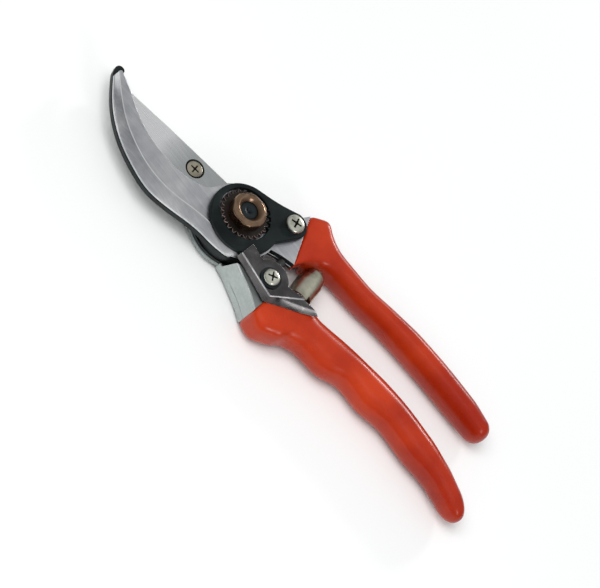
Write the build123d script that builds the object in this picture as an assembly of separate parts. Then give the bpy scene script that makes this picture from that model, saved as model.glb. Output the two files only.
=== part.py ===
from build123d import *
import math
import os

os.makedirs("parts", exist_ok=True)

# Bypass pruner, in millimetres. The tool lies flat on Z = 0 with its pivot axis on Z and its jaws to -X.
# The slender handle that carries the hook is on the +Y side, the finger-grooved handle that carries the
# cutting blade and the thumb catch is on the -Y side, and the pivot nut is on top. The jaws are closed.

# Heights of the layers at the pivot, from the bolt head upwards.
forging_z = 0.8
blade_z = 5.0
blade_thickness = 3.2
blade_land_z = 7.9
slide_gap = 0.05
counter_z = blade_z + blade_thickness + slide_gap
hook_z = 10.7
bevel_z = 12.3
hook_top = 15.0
bar_top = 14.8
plate_top = hook_top + 2.2
catch_z = 17.5
catch_top = 19.0
grip_mid_z = 7.7

# Space under the root of the hook handle.
relief_at = (19.0, 2.0)
relief_radius = 14.0

# Pivot.
bolt_head_radius = 7.5
bolt_head_height = 2.4
bolt_radius = 5.0
thread_radius = 4.0
running_gap = 0.04
bush_radius = 6.2
blade_head_radius = 17.2
blade_root_radius = 16.4
hook_sweep_radius = 17.7
bar_step_radius = 18.7
bar_step_slope = 1.9

# Nut: a hexagon with a toothed flange that the lock plate holds from turning.
nut_teeth = 24
nut_tip_radius = 10.4
nut_root_radius = 9.1
nut_flange_thickness = 1.7
nut_corner_radius = 8.2
nut_turn = 5.0
nut_top = 22.2
bolt_end_z = 21.4

# Lock plate.
lobe_centre = (1.4, -1.4)
lobe_radius = 14.7
tail_centre = (14.7, 15.1)
tail_radius = 5.6
window_radius = 10.8

# Fasteners.
screw_radius = 2.0
screw_fit = 0.02
plate_screw_head_radius = 3.9
blade_screw_at = (-25.6, 1.3)
blade_screw_head_radius = 3.3
blade_sink_radius = 4.0
catch_at = (25.1, -11.5)
catch_screw_head_radius = 3.45
rivet_radius = 1.6
rivet_top = 12.6
rivets_at = [(-58.0, -12.6), (-39.0, -18.0), (-20.0, -15.4)]
locating_pin_at = (-13.5, -6.5)
locating_pin_radius = 1.5

# Rounded nose of the counter blade, beyond the tip of the hook.
nose_at = (-72.6, 0.7)
nose_radius = 2.0

# Thumb catch: a channel bent from sheet, with an ear round its pivot and a sloping thumb rest.
catch_sheet = 1.3
ear_radius = 7.8
catch_bush_radius = 3.1
catch_neck_radius = 2.7
catch_washer_radius = 4.4
catch_washer_thickness = 0.5

# Grips: skins over the tangs of both forgings.
skin = 1.9
section_points = 24

# Spring and rubber bumper between the handles.
spring_foot = (37.3, 3.2)
spring_head = (34.7, 15.7)
spring_turns = 4
spring_large_radius = 5.5
spring_small_radius = 3.8
peg_radius = 2.2
bumper_at = (23.0, -3.5, 12.8)
bumper_radius = 1.8
bumper_tip_y = 2.4


def slab(outline, low, high):
    """Upright plate of a flat outline, between two heights."""
    return extrude(Pos(0, 0, low) * outline, high - low)


def disc(x, y, radius, low, high):
    """Upright cylinder between two heights."""
    return Pos(x, y, (low + high) / 2) * Cylinder(radius, high - low)


def polygon(*points):
    """Flat face with straight sides."""
    return make_face(Polyline(*points, close=True))


def superellipse(width, height, power):
    """Closed rounded outline: an ellipse at power 2, squarer as the power grows."""
    points = []
    for step in range(section_points):
        angle = math.radians(step * 360 / section_points)
        across = math.cos(angle)
        up = math.sin(angle)
        points.append(
            (
                width / 2 * math.copysign(abs(across) ** (2 / power), across),
                height / 2 * math.copysign(abs(up) ** (2 / power), up),
            )
        )
    return make_face(Spline(*points, periodic=True))


def handle_loft(stations, inset):
    """Solid through upright sections of a handle, smooth outside and straight-sided where it is set in."""
    faces = []
    for x, y, turn, width, height, power in stations:
        along = (math.cos(math.radians(turn)), math.sin(math.radians(turn)), 0)
        across = (-along[1], along[0], 0)
        plane = Plane(origin=(x, y, grip_mid_z), x_dir=across, z_dir=along)
        faces.append(plane * superellipse(width - 2 * inset, height - 2 * inset, power))
    return loft(faces, ruled=inset > 0)


def cross_recess(x, y, top, size):
    """Cross-shaped driver socket in the top of a screw head."""
    arm = Box(size, size * 0.24, size * 0.5)
    cross = arm + Rot(0, 0, 90) * arm
    core = Cone(size * 0.1, size * 0.3, size * 0.5)
    return Pos(x, y, top - size * 0.15) * Rot(0, 0, 20) * (cross + core)


def pan_head(x, y, radius, low, height):
    """Domed screw head with a driver socket."""
    ball_radius = (radius**2 + height**2) / (2 * height) * 1.12
    dome = Pos(x, y, low + height - ball_radius) * Sphere(ball_radius)
    head = disc(x, y, radius, low, low + height) & dome
    return head - cross_recess(x, y, low + height, radius * 1.15)


# Handle sections, each (x, y, turn of the handle's direction in degrees, width, height, power).
hook_handle_sections = [
    (21.15, 15.15, 27.1, 25.2, 15.4, 5.0),
    (27.2, 21.9, 18.0, 18.0, 15.4, 4.0),
    (32.9, 23.4, 12.0, 11.6, 15.2, 3.0),
    (40.0, 23.8, 6.0, 9.8, 15.0, 2.4),
    (52.0, 24.7, 9.0, 9.4, 14.8, 2.2),
    (66.0, 27.2, 9.0, 9.8, 15.0, 2.2),
    (80.0, 29.0, 5.0, 10.9, 15.2, 2.2),
    (96.0, 29.8, 1.0, 11.0, 15.2, 2.2),
    (110.0, 29.9, -1.0, 10.6, 15.0, 2.2),
    (119.0, 29.5, -2.0, 9.4, 13.4, 2.2),
    (123.0, 29.3, -2.0, 6.4, 9.0, 2.2),
    (124.8, 29.2, -2.0, 2.4, 3.6, 2.2),
]
blade_handle_sections = [
    (30.3, -11.2, 0.0, 25.2, 15.4, 5.0),
    (35.5, -12.2, 8.0, 27.6, 15.4, 3.6),
    (39.6, -10.6, 20.0, 23.6, 15.4, 3.0),
    (45.5, -8.2, 14.0, 18.2, 15.4, 2.6),
    (52.0, -6.7, 12.0, 16.0, 15.4, 2.2),
    (62.0, -4.8, 12.0, 17.2, 15.4, 2.2),
    (73.0, -1.4, 10.0, 14.0, 15.4, 2.2),
    (84.0, -0.4, 4.0, 15.8, 15.4, 2.2),
    (97.0, 1.2, 2.0, 13.6, 15.4, 2.2),
    (110.0, 0.6, -3.0, 13.6, 15.4, 2.2),
    (122.0, 0.0, -6.0, 11.0, 14.4, 2.2),
    (132.0, -2.1, -14.0, 9.8, 13.0, 2.2),
    (138.0, -4.0, -18.0, 7.4, 10.0, 2.2),
    (141.6, -5.2, -18.0, 2.4, 3.6, 2.2),
]
hook_outer_edge = [
    (-72.1, -4.0),
    (-66.0, -10.4),
    (-56.0, -17.8),
    (-46.6, -21.9),
    (-38.0, -24.0),
    (-30.0, -24.8),
    (-22.0, -23.3),
    (-13.0, -20.3),
    (-5.5, -18.2),
    (1.0, -17.3),
    (7.4, -15.6),
]
hook_ridge = [
    (-71.7, -3.5),
    (-65.0, -8.8),
    (-56.0, -14.6),
    (-47.5, -18.0),
    (-39.0, -20.0),
    (-30.6, -20.4),
    (-22.4, -19.2),
    (-14.3, -16.6),
    (-6.0, -14.4),
    (0.5, -13.3),
    (6.6, -12.8),
]
blade_edge = [
    (-67.4, -3.4),
    (-57.0, -11.3),
    (-45.0, -16.3),
    (-32.0, -18.2),
    (-20.0, -16.9),
    (-11.8, -11.4),
]
blade_bevel = [
    (-66.4, -2.0),
    (-56.0, -6.8),
    (-44.0, -11.4),
    (-31.5, -13.4),
    (-21.0, -12.6),
    (-13.4, -9.4),
]
hook_inner_edge = [
    (-13.5, 3.9),
    (-15.0, -0.6),
    (-16.7, -4.4),
    (-19.6, -6.9),
    (-24.0, -8.9),
    (-30.0, -10.8),
    (-38.0, -11.5),
    (-46.0, -11.0),
    (-55.0, -8.5),
    (-63.4, -4.9),
    (-71.4, -1.9),
]
hook_tang_sections = hook_handle_sections[:-3]
blade_tang_sections = blade_handle_sections[:-4]


def hook_outline(outer_edge):
    """Flat outline of the hook, its head round the pivot and the root of its handle."""
    outer = Spline(*outer_edge)
    heel = ThreePointArc(outer_edge[-1], (14.4, -8.4), (16.6, 0.4))
    root = Spline((16.6, 0.4), (21.5, 2.9), (26.5, 4.7))
    grip_line = Line((26.5, 4.7), (15.8, 25.6))
    shoulder_points = [(15.8, 25.6), (14.2, 21.8), (10.6, 18.0), (4.0, 14.9), (-4.0, 11.6), (-10.3, 8.2)]
    shoulder = Spline(*shoulder_points, hook_inner_edge[0])
    inner = Spline(*hook_inner_edge)
    tip = ThreePointArc(hook_inner_edge[-1], (-72.1, -2.8), outer_edge[0])
    return make_face(outer + heel + root + grip_line + shoulder + inner + tip)


def hook_handle():
    """Forging of the slender handle: bevelled hook, head, thick root and tang."""
    foot = hook_outline(hook_outer_edge)
    face = hook_outline(hook_ridge)
    head = slab(foot, hook_z, bevel_z)
    head += loft([Pos(0, 0, bevel_z) * foot, Pos(0, 0, hook_top) * face], ruled=True)
    root = polygon((18.0, 6.0), (25.4, 6.8), (15.8, 25.6), (11.4, 19.0), (8.0, 16.0))
    root = slab(root, forging_z, hook_top) - disc(0, 0, hook_sweep_radius, 0, hook_z)
    body = head + (root - root_relief(hook_z)) + hook_tang() - spring_peg(spring_head, -1)
    body -= disc(0, 0, bolt_radius + screw_fit, 0, hook_top + 1)
    body -= disc(*tail_centre, screw_radius, 6.0, hook_top + 1)
    for x, y in rivets_at:
        body -= disc(x, y, rivet_radius, hook_z - 1, rivet_top)
    return body


def hook_tang():
    """Core of the slender handle, inside its skin."""
    return handle_loft(hook_tang_sections, skin) - root_relief(hook_z)


def hook_outline_slab():
    """Space that the hook's head takes up."""
    return slab(hook_outline(hook_outer_edge), hook_z, hook_top)


def root_relief(high):
    """Space under the root of the hook handle, where the blade handle's bar comes close."""
    return disc(*relief_at, relief_radius, 0, high)


def counter_blade():
    """Hardened plate under the hook, that the cutting blade slides against."""
    outer_edge = [(x, y - 0.2) for x, y in hook_outer_edge]
    inner_edge = [(x, y + 0.1) for x, y in hook_inner_edge[1:]]
    heel_end = hook_inner_edge[0]
    outer = Spline(*outer_edge)
    heel = ThreePointArc(outer_edge[-1], (15.6, 2.0), heel_end)
    link = Line(heel_end, inner_edge[0])
    inner = Spline(*inner_edge)
    close = Line(inner_edge[-1], outer_edge[0])
    outline = make_face(outer + heel + link + inner + close)
    outline += Pos(*nose_at) * Circle(nose_radius)
    outline += polygon(outer_edge[0], (-74.3, -0.4), nose_at, (-71.5, 2.3), (-68.6, -3.1))
    plate = slab(outline, counter_z, hook_z)
    plate -= disc(0, 0, bolt_radius + screw_fit, 0, hook_top)
    for x, y in rivets_at:
        plate -= disc(x, y, rivet_radius, counter_z - 1, hook_z + 1)
    return plate


def counter_blade_rivets():
    """Blind rivets that hold the counter blade to the hook."""
    return [disc(x, y, rivet_radius, counter_z, rivet_top) for x, y in rivets_at]


def hook_grip():
    """Skin over the slender handle."""
    grip = handle_loft(hook_handle_sections, 0) - root_relief(hook_z - 1)
    return grip - hook_tang() - hook_outline_slab() - spring_peg(spring_head, -1)


def lock_plate():
    """Pear-shaped plate that stops the nut from turning."""
    outline = Pos(*lobe_centre) * Circle(lobe_radius)
    outline += Pos(*tail_centre) * Circle(tail_radius)
    upper_side = [(-4.2, 12.2), (5.0, 16.0), (12.6, 20.3)]
    lower_side = [(20.0, 13.2), (12.9, -3.4), (10.6, -12.0)]
    outline += polygon(*upper_side, *lower_side, (0, 0))
    outline -= Circle(window_radius)
    outline -= Pos(*tail_centre) * Circle(screw_radius + 0.3)
    plate = slab(outline, hook_top, plate_top)
    tooth_pitch = 360 / nut_teeth
    for place in (-1, 0, 1):
        angle = 45 + (place + 0.5) * tooth_pitch
        tooth = polygon((window_radius + 0.6, -0.9), (window_radius + 0.6, 0.9), (9.7, 0.35), (9.7, -0.35))
        plate += slab(Rot(0, 0, angle) * tooth, hook_top, plate_top)
    return plate


def lock_plate_screw():
    """Pan-head screw through the tail of the lock plate."""
    x, y = tail_centre
    shank = disc(x, y, screw_radius, 7.0, plate_top)
    return shank + pan_head(x, y, plate_screw_head_radius, plate_top, 1.8)


def pivot_nut():
    """Hexagon nut with a toothed flange and a rounded top."""
    pitch = 360 / nut_teeth
    root = nut_root_radius
    tip = nut_tip_radius
    points = []
    for tooth in range(nut_teeth):
        for share, radius in ((-0.36, root), (-0.12, tip), (0.12, tip), (0.36, root)):
            angle = math.radians(45 + (tooth + share) * pitch)
            points.append((radius * math.cos(angle), radius * math.sin(angle)))
    flange = slab(polygon(*points), hook_top, hook_top + nut_flange_thickness)
    hexagon = Rot(0, 0, nut_turn) * RegularPolygon(nut_corner_radius, 6)
    body = slab(hexagon, hook_top, nut_top)
    dome_radius = 11.5
    body &= Pos(0, 0, nut_top - dome_radius + 0.6) * Sphere(dome_radius)
    return flange + body - disc(0, 0, thread_radius, 0, nut_top + 2)


def pivot_bolt():
    """Shouldered bolt: low head, plain shank for the bush and a threaded end."""
    head = disc(0, 0, bolt_head_radius, 0, bolt_head_height)
    head = chamfer(head.edges().sort_by(Axis.Z)[0], 0.5)
    shank = disc(0, 0, bolt_radius, bolt_head_height, hook_top)
    thread = disc(0, 0, thread_radius, hook_top, bolt_end_z)
    dimple = Pos(0, 0, bolt_end_z) * Cone(0.1, 2.2, 1.6)
    return head + shank + thread - dimple


def pivot_bush():
    """Bronze bush that the blade handle turns on."""
    low = bolt_head_height + 0.1
    high = blade_z + blade_thickness - slide_gap
    return disc(0, 0, bush_radius, low, high) - disc(0, 0, bolt_radius + running_gap, 0, hook_top)


def spring_axis():
    """Foot, unit direction and length of the spring's axis in plan."""
    along = (spring_head[0] - spring_foot[0], spring_head[1] - spring_foot[1])
    length = math.hypot(*along)
    return (along[0] / length, along[1] / length, length)


def spring_peg(end, side):
    """Peg in one handle that the end of the spring sits on; side is +1 at the foot, -1 at the head."""
    ux, uy, _ = spring_axis()
    outside = 2.2
    inside = 3.6
    middle = (outside - inside) / 2 * side
    plane = Plane(origin=(end[0] + ux * middle, end[1] + uy * middle, grip_mid_z), z_dir=(ux, uy, 0))
    return plane * Cylinder(peg_radius, outside + inside)


def volute_spring():
    """Telescoped strip spring, as one stepped tube whose large end is at the blade handle."""
    ux, uy, length = spring_axis()
    step = length / spring_turns
    narrowing = (spring_large_radius - spring_small_radius) / (spring_turns - 1)
    profile = [(peg_radius + 0.3, 0.0)]
    for turn in range(spring_turns):
        radius = spring_large_radius - narrowing * turn
        profile.append((radius, turn * step))
        profile.append((radius, (turn + 1) * step))
    profile.append((peg_radius + 0.3, length))
    face = Plane.XZ * polygon(*profile)
    tube = revolve(face, Axis.Z)
    plane = Plane(origin=(spring_foot[0], spring_foot[1], grip_mid_z), z_dir=(ux, uy, 0))
    return plane * tube


def blade_handle():
    """Forging of the grooved handle: round head, tongue behind the blade, thick bar and tang."""
    head = disc(0, 0, blade_head_radius, forging_z, blade_z)
    head = chamfer(head.edges().sort_by(Axis.Z)[0], 1.3)
    side = Spline((-10.5, 12.4), (-20.0, 6.5), (-31.0, 4.6))
    end = ThreePointArc((-31.0, 4.6), (-35.0, 0.6), (-31.0, -3.4))
    edge = Spline((-31.0, -3.4), (-20.0, -8.0), (-10.5, -13.0))
    close = Line((-10.5, -13.0), (-10.5, 12.4))
    tongue = slab(make_face(side + end + edge + close), forging_z + 1.0, blade_z)
    front_side = [(6.0, -14.0), (9.3, -15.3), (14.3, -16.3), (23.6, -19.6), (30.3, -22.9)]
    inner_side = [(30.3, 0.6), (25.0, -0.3), (19.0, -0.6), (14.0, -2.0)]
    outline = polygon(*front_side, *inner_side)
    foot = slab(outline, forging_z, blade_z)
    bar = slab(outline, blade_z, bar_top)
    step_height = bar_top - blade_z + 1
    step = Cone(bar_step_radius, bar_step_radius + bar_step_slope, step_height)
    bar -= Pos(0, 0, blade_z + step_height / 2) * step
    tang = handle_loft(blade_tang_sections, skin)
    body = head + tongue + foot + bar + tang
    body -= disc(0, 0, bush_radius, 0, blade_z + 1)
    body -= disc(0, 0, bolt_head_radius + 0.3, 0, bolt_head_height + slide_gap)
    body -= disc(*catch_at, screw_radius, 4.0, bar_top + 1)
    body -= disc(*blade_screw_at, screw_radius, 0, blade_z + 1)
    body -= disc(*locating_pin_at, locating_pin_radius, 2.0, blade_z + 1)
    return body - bumper() - spring_peg(spring_foot, 1)


def blade_outline(tip_end, edge_points):
    """Flat outline of the blade with its curved edge at the given points."""
    back = Line((-13.5, 9.3), (-66.5, 0.1))
    tip = ThreePointArc((-66.5, 0.1), tip_end, edge_points[0])
    edge = Spline(*edge_points)
    root = ThreePointArc(edge_points[-1], (blade_root_radius, 0), (-13.5, 9.3))
    return make_face(back + tip + edge + root)


def cutting_blade():
    """Ground blade: straight back, curved edge bevelled underneath, round root on the bush."""
    face = blade_outline((-68.6, -1.2), blade_edge)
    underside = blade_outline((-67.2, -0.6), blade_bevel)
    blade = loft([Pos(0, 0, blade_z) * underside, Pos(0, 0, blade_land_z) * face], ruled=True)
    blade += slab(face, blade_land_z, blade_z + blade_thickness)
    blade -= disc(0, 0, bush_radius, 0, hook_top)
    blade -= disc(*locating_pin_at, locating_pin_radius, 0, hook_top)
    x, y = blade_screw_at
    blade -= disc(x, y, screw_radius + screw_fit, 0, hook_top)
    return blade - blade_screw_sink(blade_sink_radius)


def blade_screw_sink(radius):
    """Cone of the blade screw's countersink or head, with its wide end at the face of the blade."""
    depth = 1.9
    x, y = blade_screw_at
    top = blade_z + blade_thickness
    return Pos(x, y, top - depth / 2) * Cone(radius - depth, radius, depth)


def blade_screw():
    """Countersunk screw that holds the blade to the tongue."""
    x, y = blade_screw_at
    top = blade_z + blade_thickness - slide_gap
    head = Pos(0, 0, -slide_gap) * blade_screw_sink(blade_screw_head_radius + 0.5)
    head &= disc(x, y, blade_screw_head_radius, 0, top)
    shank = disc(x, y, screw_radius, 1.8, top - 1)
    return head + shank - cross_recess(x, y, top, blade_screw_head_radius * 1.2)


def locating_pin():
    """Pin that keeps the blade square on its tongue."""
    return disc(*locating_pin_at, locating_pin_radius, 2.0, blade_z + blade_thickness - slide_gap)


def blade_grip():
    """Skin over the grooved handle."""
    grip = handle_loft(blade_handle_sections, 0)
    grip -= handle_loft(blade_tang_sections, skin)
    return grip - spring_peg(spring_foot, 1)


def bumper():
    """Rubber plug in the blade handle's bar, that stops the handles as the jaws close."""
    x, y, z = bumper_at
    plane = Plane(origin=(x, (y + bumper_tip_y) / 2, z), z_dir=(0, 1, 0))
    return plane * Cylinder(bumper_radius, bumper_tip_y - y)


def catch_bush():
    """Stepped bush that lifts the thumb catch off the bar and lets it turn."""
    x, y = catch_at
    flange = disc(x, y, catch_bush_radius, bar_top, catch_z - slide_gap)
    neck = disc(x, y, catch_neck_radius, bar_top, catch_top + 0.1)
    return flange + neck - disc(x, y, screw_radius + screw_fit, 0, catch_top + 1)


def catch_washer():
    """Dark washer under the head of the catch screw."""
    x, y = catch_at
    low = catch_top + 0.1
    washer = disc(x, y, catch_washer_radius, low, low + catch_washer_thickness)
    return washer - disc(x, y, screw_radius + screw_fit, 0, catch_top + 2)


def catch_screw():
    """Pan-head screw that the thumb catch turns on."""
    x, y = catch_at
    seat = catch_top + 0.1 + catch_washer_thickness
    shank = disc(x, y, screw_radius, 5.0, seat)
    return shank + pan_head(x, y, catch_screw_head_radius, seat, 1.6)


def wall_section(top, foot, along):
    """Upright section through the catch's bent wall, from its top edge to its foot."""
    length = math.hypot(*along)
    inward = (-along[1] / length * catch_sheet, along[0] / length * catch_sheet)
    points = [top, foot, (foot[0] + inward[0], foot[1] + inward[1], foot[2])]
    points.append((top[0] + inward[0], top[1] + inward[1], top[2]))
    return make_face(Polyline(*points, close=True))


def thumb_catch():
    """Sheet-metal catch: nose, ear, side wall and sloping thumb rest."""
    inner_side = [(11.4, -14.1), (11.4, -7.6), (19.1, -9.0), (31.6, -9.6), (38.4, -5.0)]
    sheet = polygon(*inner_side, (39.4, -4.8), (30.3, -16.7))
    sheet += Pos(*catch_at) * Circle(ear_radius)
    sheet = slab(sheet, catch_z, catch_top)
    side = loft(
        [
            wall_section((11.4, -14.1, catch_top), (11.4, -14.3, 15.3), (1, 0)),
            wall_section((30.3, -16.7, catch_top), (29.9, -18.3, 15.7), (1, 0)),
        ],
        ruled=True,
    )
    rest = loft(
        [
            wall_section((30.3, -16.7, catch_top), (29.9, -18.3, 15.7), (1, 0)),
            wall_section((39.2, -4.8, catch_top), (42.5, -8.6, 15.8), (0.6, 0.8)),
            wall_section((43.0, -2.6, 18.0), (47.5, -3.6, 15.8), (0.2, 1.0)),
        ],
        ruled=True,
    )
    catch = sheet + side + rest
    return catch - disc(*catch_at, catch_neck_radius + running_gap, 0, catch_top + 1)


parts = {
    "hook_handle": hook_handle(),
    "counter_blade": counter_blade(),
    "counter_blade_rivets": Compound(children=counter_blade_rivets()),
    "hook_grip": hook_grip(),
    "lock_plate": lock_plate(),
    "lock_plate_screw": lock_plate_screw(),
    "pivot_nut": pivot_nut(),
    "pivot_bolt": pivot_bolt(),
    "hook_spring_peg": spring_peg(spring_head, -1),
    "blade_handle": blade_handle(),
    "cutting_blade": cutting_blade(),
    "blade_screw": blade_screw(),
    "blade_locating_pin": locating_pin(),
    "pivot_bush": pivot_bush(),
    "blade_grip": blade_grip(),
    "bumper": bumper(),
    "blade_spring_peg": spring_peg(spring_foot, 1),
    "volute_spring": volute_spring(),
    "catch_bush": catch_bush(),
    "catch_washer": catch_washer(),
    "catch_screw": catch_screw(),
    "thumb_catch": thumb_catch(),
}
for node, shape in parts.items():
    export_step(shape, f"parts/{node}.step")
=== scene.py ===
import math

import bmesh
import bpy
import numpy as np
from mathutils import Matrix, Vector


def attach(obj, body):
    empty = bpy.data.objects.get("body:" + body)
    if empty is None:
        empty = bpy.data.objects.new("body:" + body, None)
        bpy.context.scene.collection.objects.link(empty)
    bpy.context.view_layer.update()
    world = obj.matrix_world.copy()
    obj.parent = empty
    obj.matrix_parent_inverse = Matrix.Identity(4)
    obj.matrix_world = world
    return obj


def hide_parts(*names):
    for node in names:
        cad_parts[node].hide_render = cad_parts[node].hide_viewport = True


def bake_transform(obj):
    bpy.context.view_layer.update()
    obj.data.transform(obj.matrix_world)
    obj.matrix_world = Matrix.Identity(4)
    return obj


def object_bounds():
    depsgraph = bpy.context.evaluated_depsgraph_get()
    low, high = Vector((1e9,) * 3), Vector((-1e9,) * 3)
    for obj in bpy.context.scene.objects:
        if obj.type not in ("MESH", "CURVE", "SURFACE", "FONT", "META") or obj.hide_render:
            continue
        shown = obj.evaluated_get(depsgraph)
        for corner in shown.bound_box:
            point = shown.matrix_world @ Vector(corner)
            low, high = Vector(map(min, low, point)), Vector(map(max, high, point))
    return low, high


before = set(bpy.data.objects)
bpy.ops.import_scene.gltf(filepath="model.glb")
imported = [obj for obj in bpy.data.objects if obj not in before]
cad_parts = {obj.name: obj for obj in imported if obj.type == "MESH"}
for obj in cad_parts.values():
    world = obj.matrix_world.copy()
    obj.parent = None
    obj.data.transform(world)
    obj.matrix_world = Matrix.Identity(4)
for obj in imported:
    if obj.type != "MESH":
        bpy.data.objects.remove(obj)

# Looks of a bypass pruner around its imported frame. Shapes are given in millimetres and made in metres.
# The pivot axis is Z, the jaws point to -X, and the pivot nut is on top.
MM = 0.001
cad_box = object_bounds()
CAD_LOW = np.array(cad_box[0], float)
CAD_HIGH = np.array(cad_box[1], float)

# Heights of the layers, as in the frame.
FORGING_Z = 0.8
BLADE_Z = 5.0
BLADE_TOP = 8.2
COUNTER_Z = 8.25
HOOK_Z = 10.7
BEVEL_Z = 12.3
HOOK_TOP = 15.0
BAR_TOP = 14.8
PLATE_TOP = 17.2
CATCH_TOP = 19.0
GRIP_MID_Z = 7.7

# Places that several pieces share.
PIVOT = (0.0, 0.0)
CATCH_AT = (25.1, -11.5)
TAIL_AT = (14.7, 15.1)
BLADE_SCREW_AT = (-25.6, 1.3)
BAR_END = 30.6

# Folds sharper than this, in degrees, count as edges of a sheet.
EDGE_ANGLE = 38


# ---------------------------------------------------------------- outlines

def cubic(knots, values, at):
    """Natural cubic through rows of values at their knots."""
    count = len(knots)
    gaps = np.diff(knots)
    system = np.eye(count)
    right = np.zeros_like(values)
    for i in range(1, count - 1):
        system[i, i - 1] = gaps[i - 1]
        system[i, i] = 2 * (gaps[i - 1] + gaps[i])
        system[i, i + 1] = gaps[i]
        right[i] = 6 * (
            (values[i + 1] - values[i]) / gaps[i] - (values[i] - values[i - 1]) / gaps[i - 1]
        )
    bend = np.linalg.solve(system, right)
    k = np.clip(np.searchsorted(knots, at, side="right") - 1, 0, count - 2)
    gap = gaps[k][:, None]
    before = (knots[k + 1] - at)[:, None]
    after = (at - knots[k])[:, None]
    curved = (bend[k] * before**3 + bend[k + 1] * after**3) / (6 * gap)
    start = (values[k] / gap - bend[k] * gap / 6) * before
    end = (values[k + 1] / gap - bend[k + 1] * gap / 6) * after
    return curved + start + end


def steady(knots, values, at):
    """Cubic through rows of values that never swings past them, lightly smoothed."""
    slopes = np.diff(values, axis=0) / np.diff(knots)[:, None]
    tangents = np.zeros_like(values)
    product = slopes[:-1] * slopes[1:]
    total = slopes[:-1] + slopes[1:]
    level = product <= 0
    tangents[1:-1] = np.where(level, 0, 2 * product / np.where(level, 1, total))
    tangents[0], tangents[-1] = slopes[0], slopes[-1]
    k = np.clip(np.searchsorted(knots, at, side="right") - 1, 0, len(knots) - 2)
    gap = (knots[k + 1] - knots[k])[:, None]
    t = (at - knots[k])[:, None] / gap
    rows = values[k] * (1 + 2 * t) * (1 - t) ** 2 + values[k + 1] * t * t * (3 - 2 * t)
    rows += gap * (tangents[k] * t * (1 - t) ** 2 + tangents[k + 1] * t * t * (t - 1))
    rows[1:-1] = (rows[:-2] + 2 * rows[1:-1] + rows[2:]) / 4
    return rows


def lengths(points):
    """Distance along a line of points, at each point."""
    steps = np.linalg.norm(np.diff(points, axis=0), axis=1)
    return np.concatenate([[0.0], np.cumsum(steps)])


def smooth(points, count):
    """Smooth line through a few points."""
    points = np.array(points, float)
    knots = lengths(points)
    return cubic(knots, points, np.linspace(0, knots[-1], count))


def straight(points, count):
    """Line of even points along a few straight runs."""
    points = np.array(points, float)
    knots = lengths(points)
    at = np.linspace(0, knots[-1], count)
    return np.stack([np.interp(at, knots, column) for column in points.T], 1)


def arc(centre, radius, start, end, count):
    """Points on a circle, between two angles in degrees."""
    angles = np.radians(np.linspace(start, end, count))
    return np.stack([centre[0] + radius * np.cos(angles), centre[1] + radius * np.sin(angles)], 1)


def arc_through(first, middle, last, count):
    """Arc through three points."""
    a, b, c = (np.array(p, float) for p in (first, middle, last))
    system = 2 * np.array([b - a, c - a])
    centre = np.linalg.solve(system, [b @ b - a @ a, c @ c - a @ a])
    radius = np.linalg.norm(a - centre)
    angles = [math.degrees(math.atan2(*(p - centre)[::-1])) for p in (a, b, c)]
    sweep = (angles[2] - angles[0]) % 360
    if (angles[1] - angles[0]) % 360 > sweep:
        sweep -= 360
    return arc(centre, radius, angles[0], angles[0] + sweep, count)


def chain(*lines):
    """Closed outline of lines that follow each other, each giving up its last point."""
    return np.concatenate([np.array(line, float)[:-1] for line in lines])


def inset(outline, distance):
    """Anticlockwise outline moved inward, with mitred corners."""
    ahead = np.roll(outline, -1, 0) - outline
    ahead /= np.maximum(np.linalg.norm(ahead, axis=1), 1e-9)[:, None]
    inward = np.stack([-ahead[:, 1], ahead[:, 0]], 1)
    middle = inward + np.roll(inward, 1, 0)
    middle /= np.maximum(np.linalg.norm(middle, axis=1), 1e-9)[:, None]
    cosine = np.clip((middle * inward).sum(1), 0.5, 1)
    return outline + middle * (distance / cosine)[:, None]


def at_height(outline, height):
    """Flat outline as points in space."""
    return np.column_stack([outline, np.broadcast_to(height, len(outline))])


def rounded_levels(low, high, radius, steps=3):
    """Heights and insets of a plate with rounded rims."""
    levels = []
    for step in range(steps + 1):
        angle = math.pi / 2 * step / steps
        levels.append((low + radius * (1 - math.sin(angle)), radius * (1 - math.cos(angle))))
    levels = levels[::-1]
    return levels + [(low + high - z, d) for z, d in reversed(levels)]


def plate_rings(outline, low, high, radius):
    """Rings of a plate with rounded rims."""
    return [at_height(inset(outline, d), z) for z, d in rounded_levels(low, high, radius)]


# ---------------------------------------------------------------- meshes

def add_rings(mesh, rings):
    """Rows of faces between closed rings of equal counts; gives the first and last ring's points."""
    rows = [[mesh.verts.new(point) for point in ring] for ring in rings]
    count = len(rows[0])
    for low, high in zip(rows, rows[1:]):
        for i in range(count):
            j = (i + 1) % count
            mesh.faces.new((low[i], low[j], high[j], high[i]))
    return rows[0], rows[-1]


def cap(mesh, loops):
    """Flat cap across one outline and its holes."""
    if len(loops) == 1:
        mesh.faces.new(loops[0])
        return
    edges = []
    for loop in loops:
        for i, vert in enumerate(loop):
            follower = loop[(i + 1) % len(loop)]
            edges.append(mesh.edges.get((vert, follower)) or mesh.edges.new((vert, follower)))
    bmesh.ops.triangle_fill(mesh, use_beauty=True, use_dissolve=False, edges=edges)


def add_solid(mesh, *ring_sets):
    """Closed solid through rings, outer set first and each through hole as its own set."""
    ends = [add_rings(mesh, rings) for rings in ring_sets]
    cap(mesh, [end[0] for end in ends])
    cap(mesh, [end[1] for end in ends])


def lathe(mesh, centre, profile, around=72):
    """Closed solid turned about an upright axis, through radii and heights from the foot up."""
    add_solid(mesh, [at_height(arc(centre, radius, 0, 360, around + 1)[:-1], z) for radius, z in profile])


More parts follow.
